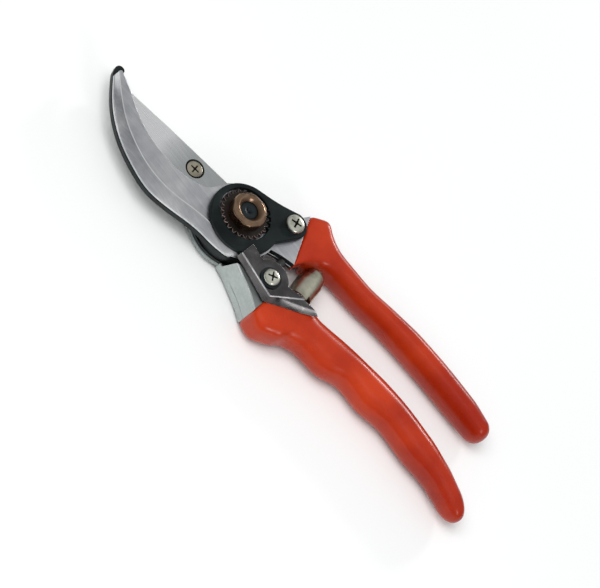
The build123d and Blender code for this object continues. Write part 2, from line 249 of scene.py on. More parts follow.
def piece(name, mesh, body, material, nodes, sharp=32, soften=None):
    """Scene object of a mesh in millimetres, kept in the frame's box.

    soften is for sheet metal: its thickness, the width of its rounded edges and the material of their painted
    highlight.
    """
    bmesh.ops.remove_doubles(mesh, verts=mesh.verts, dist=1e-4)
    bmesh.ops.recalc_face_normals(mesh, faces=mesh.faces)
    for vert in mesh.verts:
        vert.co = Vector(np.clip(np.array(vert.co) * MM, CAD_LOW, CAD_HIGH))
    data = bpy.data.meshes.new(name)
    mesh.to_mesh(data)
    mesh.free()
    data.shade_smooth()
    data.set_sharp_from_angle(angle=math.radians(sharp))
    data.materials.append(material)
    thing = bpy.data.objects.new(name, data)
    bpy.context.scene.collection.objects.link(thing)
    if soften:
        sheet, width, edge_material = soften
        thick = thing.modifiers.new("thick", "SOLIDIFY")
        thick.thickness = sheet * MM
        thick.offset = -1
        data.materials.append(edge_material)
        soft = thing.modifiers.new("soft", "BEVEL")
        soft.width = width * MM
        soft.segments = 3
        soft.limit_method = "ANGLE"
        soft.angle_limit = math.radians(EDGE_ANGLE)
        # The rounded edges take the second material, a painted highlight.
        soft.material = 1
    flat = thing.modifiers.new("flat_faces", "WEIGHTED_NORMAL")
    flat.keep_sharp = True
    if body:
        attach(thing, body)
    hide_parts(*nodes)
    return thing


def paint_faces(thing, material, chosen):
    """Second finish on the faces that a test of their centre and normal chooses, in millimetres."""
    thing.data.materials.append(material)
    for face in thing.data.polygons:
        if chosen(face.center / MM, face.normal):
            face.material_index = len(thing.data.materials) - 1


# ---------------------------------------------------------------- materials

class Nodes:
    """Short names for building one material's nodes."""

    def __init__(self, name):
        self.material = bpy.data.materials.new(name)
        self.material.use_nodes = True
        self.tree = self.material.node_tree
        self.shader = self.tree.nodes["Principled BSDF"]
        self.place = self.add("ShaderNodeTexCoord").outputs["Object"]

    def add(self, kind, **values):
        node = self.tree.nodes.new(kind)
        for key, value in values.items():
            setattr(node, key, value)
        return node

    def link(self, source, target):
        self.tree.links.new(source, target)

    def stretched(self, scale, turn=0.0):
        """Coordinates scaled per axis, and turned about Z in degrees."""
        mapping = self.add("ShaderNodeMapping")
        mapping.inputs["Scale"].default_value = scale
        mapping.inputs["Rotation"].default_value = (0, 0, math.radians(turn))
        self.link(self.place, mapping.inputs["Vector"])
        return mapping.outputs["Vector"]

    def noise(self, vector, scale, detail=4.0, roughness=0.55):
        node = self.add("ShaderNodeTexNoise")
        node.inputs["Scale"].default_value = scale
        node.inputs["Detail"].default_value = detail
        node.inputs["Roughness"].default_value = roughness
        self.link(vector, node.inputs["Vector"])
        return node.outputs["Fac"]

    def ramp(self, value, *stops):
        node = self.add("ShaderNodeValToRGB")
        elements = node.color_ramp.elements
        while len(elements) < len(stops):
            elements.new(0.5)
        for element, (position, colour) in zip(elements, stops):
            element.position = position
            element.color = (*colour, 1)
        self.link(value, node.inputs["Fac"])
        return node.outputs["Color"]

    def span(self, value, low, high, to_low, to_high):
        node = self.add("ShaderNodeMapRange")
        for key, number in zip(("From Min", "From Max", "To Min", "To Max"), (low, high, to_low, to_high)):
            node.inputs[key].default_value = number
        self.link(value, node.inputs["Value"])
        return node.outputs["Result"]

    def mix(self, share, first, second, blend="MIX"):
        node = self.add("ShaderNodeMix", data_type="RGBA", blend_type=blend)
        for key, value in (("Factor", share), ("A", first), ("B", second)):
            sockets = [s for s in node.inputs if s.name == key]
            socket = sockets[0] if key == "Factor" else [s for s in sockets if s.type == "RGBA"][0]
            if hasattr(value, "is_output"):
                self.link(value, socket)
            elif key == "Factor":
                socket.default_value = value
            else:
                socket.default_value = (*value, 1)
        return [s for s in node.outputs if s.type == "RGBA"][0]

    def bump(self, height, strength, distance):
        node = self.add("ShaderNodeBump")
        node.inputs["Strength"].default_value = strength
        node.inputs["Distance"].default_value = distance
        self.link(height, node.inputs["Height"])
        self.link(node.outputs["Normal"], self.shader.inputs["Normal"])

    def set(self, **values):
        for key, value in values.items():
            self.shader.inputs[key.replace("_", " ")].default_value = value
        return self.material


def brushed_steel(name, dark, light, rough, turn, warm=(0.5, 0.42, 0.36), painted_tip_reflection=None):
    """Ground steel: fine scratches one way, cloudy patches and a few stains.

    The last argument is the colour of a painted reflection that brightens a blade's tip beyond a soft
    slanting edge; behind that edge the blade is given painted shade, darker towards its root.
    """
    n = Nodes(name)
    along = n.stretched((0.03, 1, 0.4), turn)
    fine = n.noise(along, 2600, 3)
    broad = n.noise(along, 500, 4)
    cloud = n.noise(n.place, 70, 4)
    colour = n.ramp(cloud, (0.3, dark), (0.7, light))
    colour = n.mix(n.span(fine, 0.3, 0.7, 0.0, 0.30), colour, tuple(c * 0.62 for c in dark))
    colour = n.mix(n.span(broad, 0.55, 0.8, 0.0, 0.35), colour, tuple(min(1, c * 1.25) for c in light))
    stain = n.noise(n.place, 45, 6, 0.65)
    colour = n.mix(n.span(stain, 0.58, 0.75, 0.0, 0.35), colour, warm)
    # Painted reflection on the tip and painted shade towards the root, along a slanting line across the
    # blade.
    if painted_tip_reflection:
        parts = n.add("ShaderNodeSeparateXYZ")
        n.link(n.stretched((1, -0.55, 0)), parts.inputs["Vector"])
        wander = n.add("ShaderNodeMath", operation="MULTIPLY_ADD")
        n.link(cloud, wander.inputs[0])
        wander.inputs[1].default_value = 0.012
        n.link(parts.outputs["X"], wander.inputs[2])
        place = wander.outputs["Value"]
        colour = n.mix(n.span(place, -0.036, -0.029, 0.0, 1.0), painted_tip_reflection, colour)
        shade = n.ramp(n.span(place, -0.040, 0.0, 0.0, 1.0), (0.15, (1, 1, 1)), (0.42, (0.60, 0.61, 0.60)))
        colour = n.mix(0.85, colour, shade, "MULTIPLY")
    n.link(colour, n.shader.inputs["Base Color"])
    n.link(n.span(broad, 0.3, 0.7, rough - 0.07, rough + 0.1), n.shader.inputs["Roughness"])
    n.bump(fine, 0.25, 0.00002)
    return n.set(Metallic=1.0)


def dark_metal(name, dark, light, rough, metallic, scale, bump=0.2, fleck=None):
    """Blackened or plated metal with a fine grain, dull patches and worn flecks."""
    n = Nodes(name)
    grain = n.noise(n.place, scale * 6, 3)
    cloud = n.noise(n.place, scale * 0.4, 5)
    colour = n.ramp(cloud, (0.35, dark), (0.68, light))
    wear = n.noise(n.place, scale, 6, 0.7)
    colour = n.mix(n.span(wear, 0.6, 0.72, 0.0, 0.5), colour, fleck or tuple(min(1, c * 1.8) for c in light))
    n.link(colour, n.shader.inputs["Base Color"])
    n.link(n.span(cloud, 0.3, 0.7, rough - 0.06, rough + 0.1), n.shader.inputs["Roughness"])
    n.bump(grain, bump, 0.00003)
    return n.set(Metallic=metallic)


def dipped_plastic(name):
    """Glossy orange-red dipped grip with faint mottling and dulled, handled patches."""
    n = Nodes(name)
    cloud = n.noise(n.place, 40, 4)
    colour = n.ramp(cloud, (0.3, (0.31, 0.015, 0.003)), (0.7, (0.50, 0.040, 0.007)))
    speck = n.noise(n.place, 900, 4, 0.6)
    colour = n.mix(n.span(speck, 0.58, 0.75, 0.0, 0.22), colour, (0.27, 0.01, 0.004))
    n.link(colour, n.shader.inputs["Base Color"])
    smear = n.noise(n.stretched((0.3, 1, 1)), 120, 5)
    n.link(n.span(smear, 0.35, 0.75, 0.20, 0.34), n.shader.inputs["Roughness"])
    n.bump(n.noise(n.place, 420, 3), 0.15, 0.0001)
    return n.set(Specular_IOR_Level=0.28)


hook_steel = brushed_steel("hook_steel", (0.46, 0.47, 0.50), (0.82, 0.83, 0.83), 0.36, 20)
bar_steel = brushed_steel("bar_steel", (0.39, 0.43, 0.42), (0.54, 0.59, 0.57), 0.38, 65, (0.45, 0.5, 0.47))
# The blade steel carries a painted reflection on its tip and painted shade towards its root.
blade_steel = brushed_steel(
    "blade_steel", (0.78, 0.80, 0.80), (0.97, 0.98, 0.98), 0.28, 100, painted_tip_reflection=(0.98, 0.98, 0.98)
)
# Dark steel of the counter blade and its rivets; the same material is also painted as shade on walls beside
# the heads and in the blade screw's sink.
dark_steel_and_painted_shade = dark_metal("dark_steel_and_painted_shade", (0.010, 0.013, 0.013), (0.030, 0.036, 0.036), 0.42, 0.7, 400)
plate_black = dark_metal("plate_black", (0.0015, 0.0035, 0.004), (0.005, 0.010, 0.010), 0.42, 0.0, 350)
plate_black.node_tree.nodes["Principled BSDF"].inputs["Specular IOR Level"].default_value = 0.22
catch_steel = dark_metal("catch_steel", (0.085, 0.080, 0.082), (0.165, 0.158, 0.156), 0.26, 1.0, 350)
copper_brown = dark_metal(
    "copper_brown", (0.17, 0.105, 0.066), (0.40, 0.26, 0.17), 0.26, 1.0, 260, fleck=(0.5, 0.38, 0.28)
)
# Near-black painted shade on the nut's flange between its hex and its teeth.
painted_flange_shade = dark_metal("painted_flange_shade", (0.012, 0.010, 0.009), (0.04, 0.03, 0.026), 0.45, 0.8, 300)
tooth_brown = dark_metal("tooth_brown", (0.16, 0.12, 0.11), (0.45, 0.36, 0.33), 0.34, 1.0, 300)
bolt_black = dark_metal("bolt_black", (0.006, 0.010, 0.012), (0.022, 0.030, 0.034), 0.3, 0.6, 400)
pale_zinc = dark_metal(
    "pale_zinc", (0.50, 0.50, 0.42), (0.80, 0.80, 0.70), 0.26, 1.0, 500, bump=0.1, fleck=(0.25, 0.2, 0.13)
)
warm_zinc = dark_metal(
    "warm_zinc", (0.30, 0.27, 0.20), (0.52, 0.48, 0.38), 0.3, 1.0, 500, fleck=(0.2, 0.15, 0.1)
)
# Painted shade for the floors and walls of the screws' cross recesses.
painted_recess_shade = dark_metal("painted_recess_shade", (0.010, 0.009, 0.005), (0.05, 0.045, 0.025), 0.5, 0.6, 500)
spring_zinc = dark_metal(
    "spring_zinc", (0.38, 0.37, 0.28), (0.68, 0.67, 0.54), 0.30, 1.0, 350, fleck=(0.25, 0.2, 0.13)
)
forged_grey = dark_metal("forged_grey", (0.22, 0.25, 0.24), (0.40, 0.44, 0.43), 0.42, 1.0, 300)
# Light finishes painted on rounded edges as painted highlights: the catch's rim and the ridges of the hook
# and bar.
painted_rim_highlight = dark_metal("painted_rim_highlight", (0.70, 0.69, 0.70), (0.97, 0.96, 0.97), 0.3, 1.0, 400, bump=0.1)
painted_edge_highlight = dark_metal("painted_edge_highlight", (0.80, 0.81, 0.80), (0.93, 0.94, 0.93), 0.2, 1.0, 400, bump=0.1)
rubber = dark_metal("rubber", (0.012, 0.012, 0.012), (0.03, 0.03, 0.03), 0.6, 0.0, 300)
grip_red = dipped_plastic("grip_red")


# ---------------------------------------------------------------- hook and its handle

hook_outer_edge = [
    (-72.1, -4.0), (-66.0, -10.4), (-56.0, -17.8), (-46.6, -21.9), (-38.0, -24.0), (-30.0, -24.8),
    (-22.0, -23.3), (-13.0, -20.3), (-5.5, -18.2), (1.0, -17.3), (7.4, -15.6),
]
hook_ridge = [
    (-71.7, -3.5), (-65.0, -8.8), (-56.0, -14.6), (-47.5, -18.0), (-39.0, -20.0), (-30.6, -20.4),
    (-22.4, -19.2), (-14.3, -16.6), (-6.0, -14.4), (0.5, -13.3), (6.6, -12.8),
]
hook_inner_edge = [
    (-13.5, 3.9), (-15.0, -0.6), (-16.7, -4.4), (-19.6, -6.9), (-24.0, -8.9), (-30.0, -10.8),
    (-38.0, -11.5), (-46.0, -11.0), (-55.0, -8.5), (-63.4, -4.9), (-71.4, -1.9),
]
shoulder_points = [
    (15.8, 25.6), (14.2, 21.8), (10.6, 18.0), (4.0, 14.9), (-4.0, 11.6), (-10.3, 8.2), (-13.5, 3.9),
]
GROOVE_DEPTH = 0.22
BEVEL_DISH = 0.22


def hook_outline(outer_edge):
    """The hook, its head and the root of its handle, anticlockwise from the tip."""
    return chain(
        smooth(outer_edge, 120),
        arc_through(outer_edge[-1], (14.4, -8.4), (16.6, 0.4), 20),
        smooth([(16.6, 0.4), (21.5, 2.9), (26.5, 4.7)], 14),
        straight([(26.5, 4.7), (15.8, 25.6)], 14),
        smooth(shoulder_points, 50),
        smooth(hook_inner_edge, 100),
        arc_through(hook_inner_edge[-1], (-72.1, -2.8), outer_edge[0], 8),
    )


# Forged hook: an upright edge, a fine groove, a hollow bevel up to the ridge, and a flat top.
foot = hook_outline(hook_outer_edge)
ridge = hook_outline(hook_ridge)
mesh = bmesh.new()
rings = [
    at_height(inset(foot, 0.25), HOOK_Z),
    at_height(foot, HOOK_Z + 0.25),
    at_height(foot, BEVEL_Z - 0.25),
    at_height(inset(foot, GROOVE_DEPTH), BEVEL_Z - 0.08),
    at_height(inset(foot, GROOVE_DEPTH), BEVEL_Z + 0.1),
]
for share in (0.1, 0.35, 0.65, 0.9, 0.97):
    dish = BEVEL_DISH * math.sin(math.pi * share)
    rings.append(at_height(foot + (ridge - foot) * share, BEVEL_Z + (HOOK_TOP - BEVEL_Z) * share - dish))
rings.append(at_height(inset(ridge, 0.25), HOOK_TOP))
add_solid(mesh, rings)

# Root of the handle: the thick block between the head and the grip, hollowed on the catch's side.
root = chain(
    arc((19.0, 2.0), 14.05, 122.6, 82.8, 24),
    straight([(20.76, 15.95), (15.9, 25.3)], 14),
    smooth([(15.9, 25.3), (14.2, 21.8), (10.6, 18.0), (8.0, 16.0)], 20),
    arc(PIVOT, 17.9, 63.4, 50.6, 12),
)
add_solid(mesh, plate_rings(root, FORGING_Z, HOOK_Z + 0.3, 0.5))
hook_forging = piece("hook_forging", mesh, "hook_side", hook_steel, ["hook_handle"])
# Painted highlight along the hook's ridge.
ridge_line = smooth(hook_ridge, 120)
paint_faces(
    hook_forging, painted_edge_highlight,
    lambda c, n: c.z > HOOK_TOP - 0.12 and n.z < 0.98
    and np.min(np.linalg.norm(ridge_line - np.array(c)[:2], axis=1)) < 0.6,
)
# Painted shade on the root's walls that face the gap to the blade handle.
paint_faces(hook_forging, dark_steel_and_painted_shade, lambda c, n: c.x > 9 and c.y < 9 and abs(n.z) < 0.5 and n.y < 0.2)

# Counter blade: follows the hook a little outside it and ends in a rounded nose.
outer = [(x, y - 0.2) for x, y in hook_outer_edge]
inner = [(x, y + 0.1) for x, y in hook_inner_edge[1:-1]] + [(-68.6, -3.0)]
counter = chain(
    smooth(outer, 120),
    arc_through(outer[-1], (15.6, 2.0), hook_inner_edge[0], 50),
    straight([hook_inner_edge[0], inner[0]], 6),
    smooth(inner, 90),
    smooth([inner[-1], (-69.9, -1.3), (-71.1, 2.0)], 10),
    arc((-72.6, 0.7), 2.0, 42, 212, 20),
    smooth([(-74.3, -0.36), (-73.6, -2.2), outer[0]], 8),
)
mesh = bmesh.new()
add_solid(mesh, plate_rings(counter, COUNTER_Z, HOOK_Z, 0.25))
piece("counter_blade_plate", mesh, "hook_side", dark_steel_and_painted_shade, ["counter_blade"])

# ---------------------------------------------------------------- cutting blade

blade_edge = [(-67.4, -3.4), (-57.0, -11.3), (-45.0, -16.3), (-32.0, -18.2), (-20.0, -16.9), (-11.8, -11.4)]
blade_bevel = [(-66.4, -2.0), (-56.0, -6.8), (-44.0, -11.4), (-31.5, -13.4), (-21.0, -12.6), (-13.4, -9.4)]


def blade_outline(tip, edge):
    """The blade, anticlockwise from the tip."""
    return chain(
        smooth(edge, 110),
        arc_through(edge[-1], (16.4, 0.0), (-13.5, 9.3), 60),
        straight([(-13.5, 9.3), (-66.5, 0.1)], 70),
        arc_through((-66.5, 0.1), tip, edge[0], 10),
    )


blade_face = blade_outline((-68.6, -1.2), blade_edge)
blade_under = blade_outline((-67.2, -0.6), blade_bevel)
BLADE_HOLLOW = 0.7
HOLLOW_REACH = 22
HOLLOW_STEPS = 14
SINK_RADIUS = 4.05
rings = [at_height(inset(blade_under, 0.1), BLADE_Z), at_height(blade_under, BLADE_Z + 0.1)]
rings += [at_height(blade_face, BLADE_TOP - 0.3), at_height(blade_face, BLADE_TOP - 0.12)]
rings.append(at_height(inset(blade_face, 0.12), BLADE_TOP))
sink = [(2.02, BLADE_Z), (2.1, 6.25), (3.85, 8.0), (SINK_RADIUS, BLADE_TOP)]
sink_rings = [at_height(arc(BLADE_SCREW_AT, radius, 0, 360, 49)[:-1], z) for radius, z in sink]
mesh = bmesh.new()
add_solid(mesh, rings, sink_rings)

# Hollow grind: the top face falls away towards the edge, cut first into strips across the fall.
grind = np.array((-0.649, -0.761))
grind_start = np.array((-38.0, -2.0))
for step in range(HOLLOW_STEPS):
    cut = grind_start + grind * (0.02 + 1.6 * step)
    faces = [f for f in mesh.faces if min(v.co.z for v in f.verts) > BLADE_TOP - 0.2]
    shape = set(faces) | {e for f in faces for e in f.edges} | {v for f in faces for v in f.verts}
    bmesh.ops.bisect_plane(mesh, geom=list(shape), plane_co=(*cut, 0), plane_no=(*grind, 0))
for vert in mesh.verts:
    beyond = min(max((np.array(vert.co)[:2] - grind_start) @ grind, 0) / HOLLOW_REACH, 1)
    if vert.co.z > BLADE_TOP - 0.5:
        vert.co.z -= BLADE_HOLLOW * (1 - (1 - beyond) ** 2)
ground_blade = piece("ground_blade", mesh, "blade_side", blade_steel, ["cutting_blade"])


def painted_shade_on_blade(centre, normal):
    """The blade's walls beside the head, and the sink of its screw, which get painted shade."""
    beside_head = centre.x > -12 and abs(normal.z) < 0.6
    from_screw = math.hypot(centre.x - BLADE_SCREW_AT[0], centre.y - BLADE_SCREW_AT[1])
    return beside_head or from_screw < SINK_RADIUS - 0.01


paint_faces(ground_blade, dark_steel_and_painted_shade, painted_shade_on_blade)

# ---------------------------------------------------------------- blade handle

# Round head with a well for the bolt, and the tongue that backs the blade.
mesh = bmesh.new()
head_levels = [
    (15.9, FORGING_Z), (16.6, 1.2), (17.2, 2.1), (17.2, 3.5), (17.0, 3.7), (16.9, 3.8), (16.9, BLADE_Z),
]
head_rings = [at_height(arc(PIVOT, radius, 0, 360, 121)[:-1], z) for radius, z in head_levels]
well = [(7.8, FORGING_Z), (7.8, 2.45), (6.3, 2.45), (6.25, BLADE_Z)]
well_rings = [at_height(arc(PIVOT, radius, 0, 360, 121)[:-1], z) for radius, z in well]
add_solid(mesh, head_rings, well_rings)
tongue = chain(
    smooth([(-10.5, -13.0), (-20.0, -8.0), (-31.0, -3.4)][::-1], 24)[::-1],
    arc_through((-31.0, -3.4), (-35.0, 0.6), (-31.0, 4.6), 16),
    smooth([(-31.0, 4.6), (-20.0, 6.5), (-10.5, 12.4)], 24),
    straight([(-10.5, 12.4), (-10.5, -13.0)], 10),
)[::-1]
add_solid(mesh, plate_rings(tongue, FORGING_Z + 1.0, BLADE_Z - 0.02, 0.5))


def bar_outline(radius):
    """The bar behind the head, whose near end follows a circle round the pivot."""
    start = math.degrees(math.asin(-15.9 / radius))
    end = math.degrees(math.asin(-1.6 / radius))
    near = arc(PIVOT, radius, end, start, 24)
    return chain(
        near,
        smooth([near[-1], (18.6, -17.9), (23.6, -19.6), (BAR_END, -23.05)], 30),
        straight([(BAR_END, -23.05), (BAR_END, -5.0)], 20),
        smooth([(BAR_END, -5.0), (27.5, -4.4), (23.0, -2.6), near[0]], 16),
    )


# The bar rises beside the head, its near end leaning back a little, and stands on a wider foot.
BAR_STEP_RADIUS = 18.7
BAR_STEP_SLOPE = 1.9 / 10.8
rings = []
for z, d in rounded_levels(BLADE_Z - 0.3, BAR_TOP, 0.45, 4):
    step_radius = BAR_STEP_RADIUS + BAR_STEP_SLOPE * max(0, z - BLADE_Z)
    rings.append(at_height(inset(bar_outline(step_radius), d), z))
add_solid(mesh, rings)
bar_foot = chain(
    arc(PIVOT, 13.0, -20, -70, 12),
    straight([(4.45, -12.2), (9.3, -15.3), (14.3, -16.3)], 14),
    smooth([(14.3, -16.3), (18.6, -17.9), (23.6, -19.6), (BAR_END, -23.05)], 24),
    straight([(BAR_END, -23.05), (BAR_END, -5.0)], 12),
    straight([(BAR_END, -5.0), (23.0, -2.6), (12.2, -4.45)], 14),
)
add_solid(mesh, plate_rings(bar_foot, FORGING_Z, BLADE_Z, 0.6))
bar_forging = piece("bar_forging", mesh, "blade_side", bar_steel, ["blade_handle"])
paint_faces(bar_forging, forged_grey, lambda c, n: math.hypot(c.x, c.y) > 15 and c.x < 9 and c.z < 3.75)
# Painted shade on the head's upper wall and top, beside the blade and under the hook.
paint_faces(bar_forging, dark_steel_and_painted_shade, lambda c, n: math.hypot(c.x, c.y) < 17.3 and c.z > 3.7)
# Painted highlight along the bar's rounded front edge.
paint_faces(bar_forging, painted_edge_highlight, lambda c, n: c.z > BAR_TOP - 0.5 and 0.2 < n.z < 0.97 and n.y < -0.1)

# ---------------------------------------------------------------- grips

# Sections along each grip: centre x and y, turn in degrees, width, height and squareness.
hook_stations = [
    (21.15, 15.15, 27.1, 25.2, 15.4, 8.0), (24.2, 19.4, 15.0, 25.4, 15.4, 6.5),
    (26.1, 20.9, 13.0, 22.6, 15.4, 5.5), (28.3, 21.5, 14.0, 18.6, 15.4, 4.5),
    (31.4, 22.4, 14.0, 14.2, 15.2, 3.4), (35.4, 23.0, 10.0, 11.0, 15.2, 2.8),
    (40.0, 23.8, 6.0, 9.8, 15.0, 2.4),
    (52.0, 24.7, 9.0, 9.4, 14.8, 2.2), (66.0, 27.2, 9.0, 9.8, 15.0, 2.2),
    (80.0, 29.0, 5.0, 10.9, 15.2, 2.2), (96.0, 29.8, 1.0, 11.0, 15.2, 2.2),
    (110.0, 29.9, -1.0, 10.6, 15.0, 2.2), (119.0, 29.5, -2.0, 9.4, 13.4, 2.2),
]
blade_stations = [
    (30.3, -14.3, 0.0, 19.0, 15.4, 5.0), (35.5, -14.5, 7.0, 22.8, 15.4, 3.6),
    (39.8, -11.0, 20.0, 22.8, 15.4, 3.0), (45.5, -8.2, 14.0, 18.2, 15.4, 2.6),
    (52.0, -6.7, 12.0, 16.0, 15.4, 2.2), (62.0, -4.8, 12.0, 17.2, 15.4, 2.2),
    (73.0, -1.4, 10.0, 14.0, 15.4, 2.2), (84.0, -0.4, 4.0, 15.8, 15.4, 2.2),
    (97.0, 1.2, 2.0, 13.6, 15.4, 2.2), (110.0, 0.6, -3.0, 13.6, 15.4, 2.2),
    (122.0, 0.0, -6.0, 11.0, 14.4, 2.2), (132.0, -2.1, -14.0, 9.8, 13.0, 2.2),
]


def grip_rings(stations, end, end_turn, around=120, along=190, dome_steps=14):
    """Rings of a dipped grip from its cut front edge, with a rolled lip, to its rounded end."""
    stations = np.array(stations, float)
    knots = lengths(stations[:, :2])
    rows = steady(knots, stations, np.linspace(0, knots[-1], along))
    last = rows[-1].copy()
    reach = np.array(end) - last[:2]
    for step in range(1, dome_steps + 1):
        angle = math.pi / 2 * step / dome_steps
        row = last.copy()
        row[:2] += reach * math.sin(angle)
        row[2] += (end_turn - last[2]) * math.sin(angle)
        row[3:5] *= max(math.cos(angle), 0.02) ** 0.85
        rows = np.vstack([rows, row])
    angles = np.radians(np.linspace(0, 360, 1441))
    lips = (1.1, 0.35, 0.08)
    rings = []
    for index, (x, y, turn, width, height, power) in enumerate(rows):
        lip = lips[index] if index < len(lips) else 0
        across = np.sign(np.cos(angles)) * np.abs(np.cos(angles)) ** (2 / power) * (width / 2 - lip)
        up = np.sign(np.sin(angles)) * np.abs(np.sin(angles)) ** (2 / power) * (height / 2 - lip)
        across, up = straight(np.column_stack([across, up]), around + 1)[:-1].T
        side = (-math.sin(math.radians(turn)), math.cos(math.radians(turn)))
        rings.append(np.column_stack([x + side[0] * across, y + side[1] * across, GRIP_MID_Z + up]))
    return rings


def lift_over(rings, centre, radius, ceiling, blend):
    """Rings squeezed upwards over a round space, so that their underside rises to the ceiling."""
    for ring in rings:
        distance = np.linalg.norm(ring[:, :2] - centre, axis=1)
        share = np.clip((radius - distance) / blend, 0, 1)
        share = share * share * (3 - 2 * share)
        low, high = ring[:, 2].min(), ring[:, 2].max()
        ring[:, 2] += max(ceiling - low, 0) * share * (high - ring[:, 2]) / (high - low)
    return rings


mesh = bmesh.new()
hook_grip_rings = grip_rings(hook_stations, (124.8, 29.2), -2.0)
add_solid(mesh, lift_over(hook_grip_rings, (19.0, 2.0), 16.2, 9.7, 5.0))
piece("hook_grip_skin", mesh, "hook_side", grip_red, ["hook_grip"], sharp=50)
mesh = bmesh.new()
add_solid(mesh, grip_rings(blade_stations, (141.6, -5.2), -20.0))
piece("blade_grip_skin", mesh, "blade_side", grip_red, ["blade_grip"], sharp=50)

# ---------------------------------------------------------------- lock plate

LOCKING_ANGLE = 45
TOOTH_PITCH = 15
WINDOW_RADIUS = 10.8
WINDOW_TEETH_RADIUS = 9.8
plate = chain(
    arc((1.4, -1.4), 14.7, 112.4, 376.2, 90),
    straight([(15.5, 2.7), (20.0, 13.2)], 14),
    arc(TAIL_AT, 5.6, -19.7, 112, 30),
    smooth([(12.6, 20.3), (5.0, 16.0), (-4.2, 12.2)], 24),
)
window = []
for degrees in np.arange(0, 360, 1.5):
    tooth = abs((degrees - LOCKING_ANGLE) % TOOTH_PITCH - TOOTH_PITCH / 2)
    held = abs((degrees - LOCKING_ANGLE + 180) % 360 - 180) < 24
    reach = WINDOW_TEETH_RADIUS if held and tooth < 1.6 else WINDOW_RADIUS
    angle = math.radians(degrees)
    window.append((reach * math.cos(angle), reach * math.sin(angle)))
window = np.array(window)
levels = rounded_levels(HOOK_TOP, PLATE_TOP, 0.4)
rings = [at_height(inset(plate, d), z) for z, d in levels]
window_rings = [at_height(inset(window, -d * 0.5), z) for z, d in levels]
mesh = bmesh.new()
add_solid(mesh, rings, window_rings)
piece("lock_plate_pressing", mesh, "hook_side", plate_black, ["lock_plate"])

# ---------------------------------------------------------------- pivot nut

around = np.radians(np.arange(0, 360, 2.5))
NUT_TURN = 5.0
NUT_RADIUS = 8.1
NUT_CROWN = 22.2
FLANGE_TOP = 16.7


def hexagon(radius, corner_round):
    """Hexagon with its corners rounded off."""
    turned = (np.degrees(around) - NUT_TURN) % 60 - 30
    reach = radius * math.cos(math.radians(30)) / np.cos(np.radians(turned))
    reach = np.minimum(reach, radius - corner_round)
    return np.stack([reach * np.cos(around), reach * np.sin(around)], 1)


def dome_height(outline):
    """Height of the nut's rounded top over an outline."""
    return NUT_CROWN - (np.linalg.norm(outline, axis=1) / 8.0) ** 2.4 * 1.7


def circle(radius, count=144):
    """Points round the pivot."""
    return arc(PIVOT, radius, 0, 360, count + 1)[:-1]


side = hexagon(NUT_RADIUS, 0.75)
rings = [at_height(side, FLANGE_TOP - 0.3), np.column_stack([side, dome_height(side) - 0.5])]
for d, drop in ((0.12, 0.18), (0.4, 0.0)):
    rim = inset(side, d)
    rings.append(np.column_stack([rim, dome_height(rim) - drop]))
for share in (0.8, 0.6):
    rim = side * share + circle(5.6) * (1 - share)
    rings.append(np.column_stack([rim, dome_height(rim)]))
dish = [(5.6, 21.84), (5.3, 21.86), (5.0, 21.74), (4.5, 21.35), (3.9, 20.75), (3.6, 20.3), (3.6, 18.0)]
rings += [at_height(circle(radius), z) for radius, z in dish]
mesh = bmesh.new()
first, last = add_rings(mesh, rings)
cap(mesh, [first])
cap(mesh, [last])
teeth = []
for tooth in range(24):
    for share, radius in ((-0.40, 9.2), (-0.14, 10.35), (0.14, 10.35), (0.40, 9.2)):
        angle = math.radians(LOCKING_ANGLE + (tooth + share) * TOOTH_PITCH)
        teeth.append((radius * math.cos(angle), radius * math.sin(angle)))
add_solid(mesh, plate_rings(np.array(teeth), HOOK_TOP + 0.05, FLANGE_TOP, 0.25))
crown_nut = piece("crown_nut", mesh, "hook_side", copper_brown, ["pivot_nut"])
# Painted shade on the flange; the teeth keep a lighter brown.
paint_faces(crown_nut, painted_flange_shade, lambda c, n: c.z < FLANGE_TOP + 0.1)
paint_faces(crown_nut, tooth_brown, lambda c, n: c.z < FLANGE_TOP + 0.1 and math.hypot(c.x, c.y) > 9.3)

# ---------------------------------------------------------------- pivot bolt

bolt_head = [(6.9, 0.0), (7.2, 0.1), (7.45, 0.4), (7.5, 0.8), (7.5, 2.4)]
bolt_shank = [(4.95, 2.4), (4.95, HOOK_TOP), (3.55, HOOK_TOP)]
bolt_end = [(3.55, 19.9), (3.4, 20.15), (3.0, 20.3), (2.2, 20.35), (1.5, 20.25), (0.9, 19.8), (0.15, 19.2)]
mesh = bmesh.new()
lathe(mesh, PIVOT, bolt_head + bolt_shank + bolt_end, 96)
piece("shoulder_bolt", mesh, "hook_side", bolt_black, ["pivot_bolt"])

# ---------------------------------------------------------------- thumb catch

CATCH_SHEET = 1.3
STRAIGHT_POINTS = 30
CURVED_POINTS = 20
edge_line = np.concatenate([
    straight([(10.9, -14.0), (29.9, -16.6)], STRAIGHT_POINTS),
    smooth([(30.3, -16.4), (33.0, -12.8), (36.2, -8.7), (39.2, -4.8)], CURVED_POINTS),
])
ear = arc(CATCH_AT, 7.8, 33, 156, 36)
far_line = np.concatenate([[(38.3, -4.7)], [(33.0, -7.0)], ear, [(17.2, -8.6), (10.9, -7.6)]])
face_line = np.concatenate([edge_line, far_line])
mesh = bmesh.new()
boundary = [mesh.verts.new((x, y, CATCH_TOP)) for x, y in face_line]
for i, vert in enumerate(boundary):
    mesh.edges.new((vert, boundary[(i + 1) % len(boundary)]))
hole = [mesh.verts.new((x, y, CATCH_TOP)) for x, y in arc(CATCH_AT, 2.8, 0, 360, 41)[:-1]]
cap(mesh, [boundary, hole])
